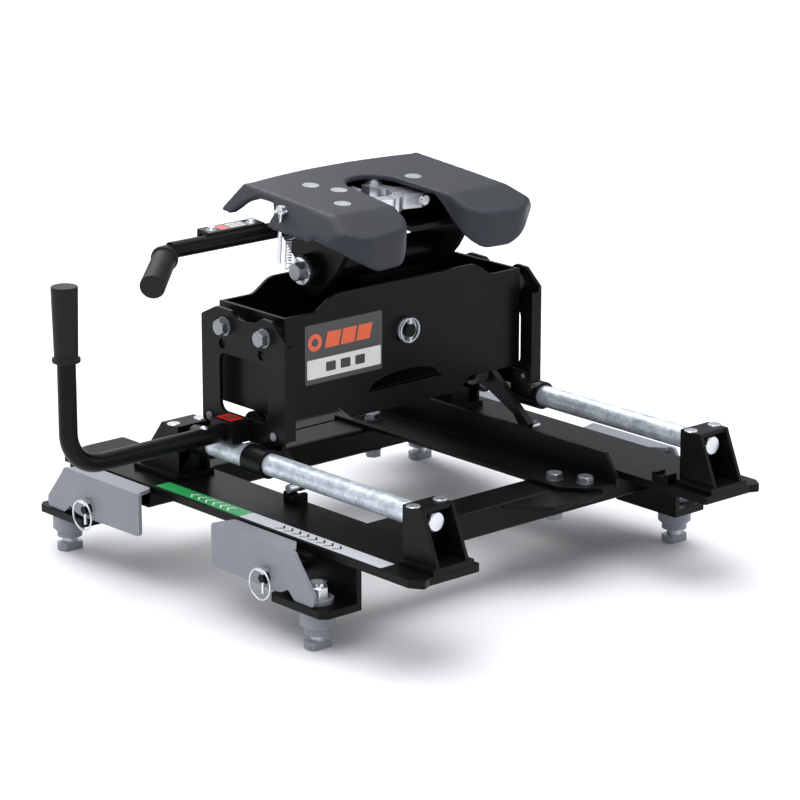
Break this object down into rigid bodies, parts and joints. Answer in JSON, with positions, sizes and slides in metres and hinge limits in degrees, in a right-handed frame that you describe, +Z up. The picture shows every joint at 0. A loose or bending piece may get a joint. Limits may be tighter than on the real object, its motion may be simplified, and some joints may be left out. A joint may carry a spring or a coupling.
{
  "type": "fifth wheel hitch",
  "caption": "Roller fifth wheel hitch: tilting jaw head on a beam that slides on two tubes, with quarter-turn bed anchors.",
  "frame": {"origin": "midway between the four bed anchors, at the bottom of their lugs", "axes": "+X to the passenger side, +Y towards the cab, +Z up"},
  "size_m": [1.044, 0.8767, 0.6111],
  "materials": {
    "black_paint": "satin powder coat",
    "charcoal_paint": "satin powder coat",
    "grey_paint": "satin",
    "zinc": "bright zinc plate",
    "galvanised": "mottled galvanised",
    "lock_steel": "machined",
    "rubber": "matte",
    "bushing_plastic": "matte"
  },
  "bodies": {
    "base": {"base_plate_left": "black_paint", "base_plate_right": "black_paint", "cross_member_front": "black_paint", "cross_member_rear": "black_paint", "center_rail": "black_paint", "rail_gussets": "black_paint", "rail_bolts": "zinc", "roller_tube_left": "galvanised", "roller_tube_right": "galvanised", "tube_brackets_front": "black_paint", "tube_brackets_rear": "black_paint", "tube_bolts": "zinc", "lock_catches": "black_paint", "foot_lf": "black_paint", "foot_lr": "black_paint", "foot_rf": "black_paint", "foot_rr": "black_paint"},
    "carriage": {"upright_left": "black_paint", "upright_right": "black_paint", "beam_front": "black_paint", "beam_rear": "black_paint", "beam_ends": "black_paint", "upright_bolts": "zinc", "slide_collars": "black_paint", "lever_housing": "black_paint"},
    "lever": {"lock_lever": "black_paint", "lever_grip": "rubber", "lock_shaft": "lock_steel", "lock_pawls": "lock_steel"},
    "roll_pin": {"roll_pin": "zinc"},
    "yoke": {"yoke": "black_paint"},
    "head": {"head_plate": "charcoal_paint", "head_frame": "black_paint", "head_rivets": "zinc", "pivot_bushings": "bushing_plastic", "pivot_bolts": "zinc", "jaw_bolts": "zinc", "release_spring": "zinc"},
    "jaw_left": {"jaw_left": "zinc"},
    "jaw_right": {"jaw_right": "zinc"},
    "release": {"release_bar": "black_paint", "release_handle": "black_paint", "release_grip": "rubber"},
    "safety_pin": {"safety_pin": "zinc"},
    "anchor_lf": {"anchor_lf": "grey_paint", "anchor_nut_lf": "zinc", "anchor_handle_lf": "grey_paint"},
    "lynch_pin_lf": {"lynch_pin_lf": "zinc"},
    "anchor_lr": {"anchor_lr": "grey_paint", "anchor_nut_lr": "zinc", "anchor_handle_lr": "grey_paint"},
    "lynch_pin_lr": {"lynch_pin_lr": "zinc"},
    "anchor_rf": {"anchor_rf": "grey_paint", "anchor_nut_rf": "zinc", "anchor_handle_rf": "grey_paint"},
    "lynch_pin_rf": {"lynch_pin_rf": "zinc"},
    "anchor_rr": {"anchor_rr": "grey_paint", "anchor_nut_rr": "zinc", "anchor_handle_rr": "grey_paint"},
    "lynch_pin_rr": {"lynch_pin_rr": "zinc"}
  },
  "joints": [
    {"name": "carriage_slide", "type": "slide", "parent": "base", "child": "carriage", "axis": [0, -1, 0], "range_m": [0, 0.305]},
    {"name": "lock_lever_turn", "type": "hinge", "parent": "carriage", "child": "lever", "pos_m": [0, 0, 0.2496], "axis": [1, 0, 0], "range_deg": [-30, 0]},
    {"name": "roll_pin_pull", "type": "slide", "parent": "carriage", "child": "roll_pin", "axis": [0, -1, 0], "range_m": [0, 0.15]},
    {"name": "head_roll", "type": "hinge", "parent": "carriage", "child": "yoke", "pos_m": [0, 0, 0.377], "axis": [0, 1, 0], "range_deg": [-5, 5]},
    {"name": "head_pitch", "type": "hinge", "parent": "yoke", "child": "head", "pos_m": [0, 0, 0.481], "axis": [1, 0, 0], "range_deg": [-14, 8]},
    {"name": "release_pull", "type": "slide", "parent": "head", "child": "release", "axis": [-1, 0, 0], "range_m": [0, 0.045], "stiffness_N_per_m": 200, "springref_m": -0.05, "deforming": ["release_spring"]},
    {"name": "jaw_left_open", "type": "hinge", "parent": "head", "child": "jaw_left", "pos_m": [-0.036, 0.03895, 0.57234], "axis": [0, -0.0785, 0.9969], "range_deg": [-30, 0]},
    {"name": "jaw_right_open", "type": "hinge", "parent": "head", "child": "jaw_right", "pos_m": [0.036, 0.03895, 0.57234], "axis": [0, -0.0785, 0.9969], "range_deg": [0, 30]},
    {"name": "safety_pin_lift", "type": "slide", "parent": "head", "child": "safety_pin", "axis": [0, -0.0785, 0.9969], "range_m": [0, 0.09]},
    {"name": "anchor_turn_lf", "type": "hinge", "parent": "base", "child": "anchor_lf", "pos_m": [-0.381, 0.311, 0.06], "axis": [0, 0, 1], "range_deg": [-90, 0]},
    {"name": "lynch_pin_lift_lf", "type": "slide", "parent": "anchor_lf", "child": "lynch_pin_lf", "axis": [0, 0, 1], "range_m": [0, 0.045]},
    {"name": "anchor_turn_lr", "type": "hinge", "parent": "base", "child": "anchor_lr", "pos_m": [-0.381, -0.311, 0.06], "axis": [0, 0, 1], "range_deg": [0, 90]},
    {"name": "lynch_pin_lift_lr", "type": "slide", "parent": "anchor_lr", "child": "lynch_pin_lr", "axis": [0, 0, 1], "range_m": [0, 0.045]},
    {"name": "anchor_turn_rf", "type": "hinge", "parent": "base", "child": "anchor_rf", "pos_m": [0.381, 0.311, 0.06], "axis": [0, 0, 1], "range_deg": [0, 90]},
    {"name": "lynch_pin_lift_rf", "type": "slide", "parent": "anchor_rf", "child": "lynch_pin_rf", "axis": [0, 0, 1], "range_m": [0, 0.045]},
    {"name": "anchor_turn_rr", "type": "hinge", "parent": "base", "child": "anchor_rr", "pos_m": [0.381, -0.311, 0.06], "axis": [0, 0, 1], "range_deg": [-90, 0]},
    {"name": "lynch_pin_lift_rr", "type": "slide", "parent": "anchor_rr", "child": "lynch_pin_rr", "axis": [0, 0, 1], "range_m": [0, 0.045]}
  ],
  "couplings": [
    {"joint": "jaw_left_open", "follows": "release_pull", "rad_per_m": -11.636},
    {"joint": "jaw_right_open", "follows": "release_pull", "rad_per_m": 11.636}
  ]
}
